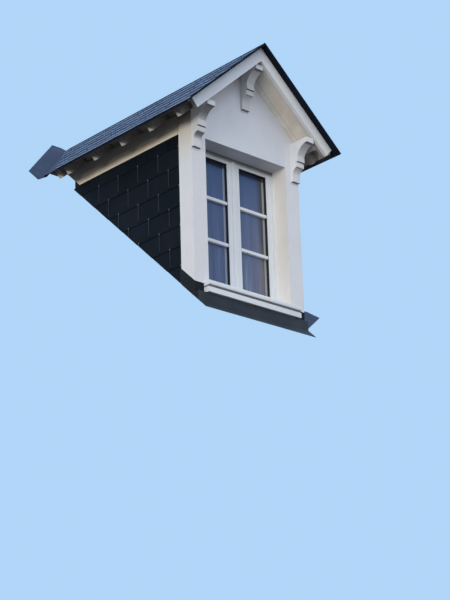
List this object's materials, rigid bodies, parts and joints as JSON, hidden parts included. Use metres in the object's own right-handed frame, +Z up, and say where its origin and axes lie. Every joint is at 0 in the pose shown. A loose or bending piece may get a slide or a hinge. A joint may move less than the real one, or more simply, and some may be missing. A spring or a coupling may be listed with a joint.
{
  "type": "dormer window",
  "caption": "Gabled timber dormer window with slate roof and slate-hung cheeks, curved consoles, bargeboards and open eaves; admits light through a pitched roof.",
  "frame": {"origin": "on the sloping underside of the front sole, midway across the front, in line with the front wall's outer face", "axes": "the window faces -Y, +X is to the right seen from the street, +Z is up"},
  "size_m": [2.3258, 3.1446, 2.788],
  "materials": {
    "white_painted_timber": "satin white paint",
    "white_joinery": "satin white paint",
    "glazing": "clear",
    "slate": "riven, satin",
    "zinc_sheet": "weathered zinc",
    "dark_flashing": "dull dark sheet",
    "dark_timber": "dark stained",
    "bare_timber": "dark weathered"
  },
  "bodies": {
    "root": {"centre_bracket": "white_painted_timber", "cover_strip": "white_joinery", "foot_flashing": "zinc_sheet", "front_apron": "dark_flashing", "front_sole": "dark_timber", "gable_panel": "white_painted_timber", "head_beam": "white_painted_timber", "left_barge_board": "white_painted_timber", "left_boards": "bare_timber", "left_bracket": "white_painted_timber", "left_cheek_slates": "slate", "left_cheek_wall": "bare_timber", "left_glass": "glazing", "left_post": "white_painted_timber", "left_rafters": "white_painted_timber", "left_sash": "white_joinery", "left_slates": "slate", "left_soffit": "white_painted_timber", "left_sole": "dark_timber", "left_valley": "zinc_sheet", "left_verge_rafter": "white_painted_timber", "left_wall_plate": "white_painted_timber", "ridge_beam": "bare_timber", "right_barge_board": "white_painted_timber", "right_boards": "bare_timber", "right_bracket": "white_painted_timber", "right_cheek_slates": "slate", "right_cheek_wall": "bare_timber", "right_glass": "glazing", "right_post": "white_painted_timber", "right_rafters": "white_painted_timber", "right_sash": "white_joinery", "right_slates": "slate", "right_soffit": "white_painted_timber", "right_sole": "dark_timber", "right_valley": "zinc_sheet", "right_verge_rafter": "white_painted_timber", "right_wall_plate": "white_painted_timber", "sill": "white_painted_timber", "sill_fascia": "white_painted_timber", "window_frame": "white_joinery"}
  },
  "joints": []
}
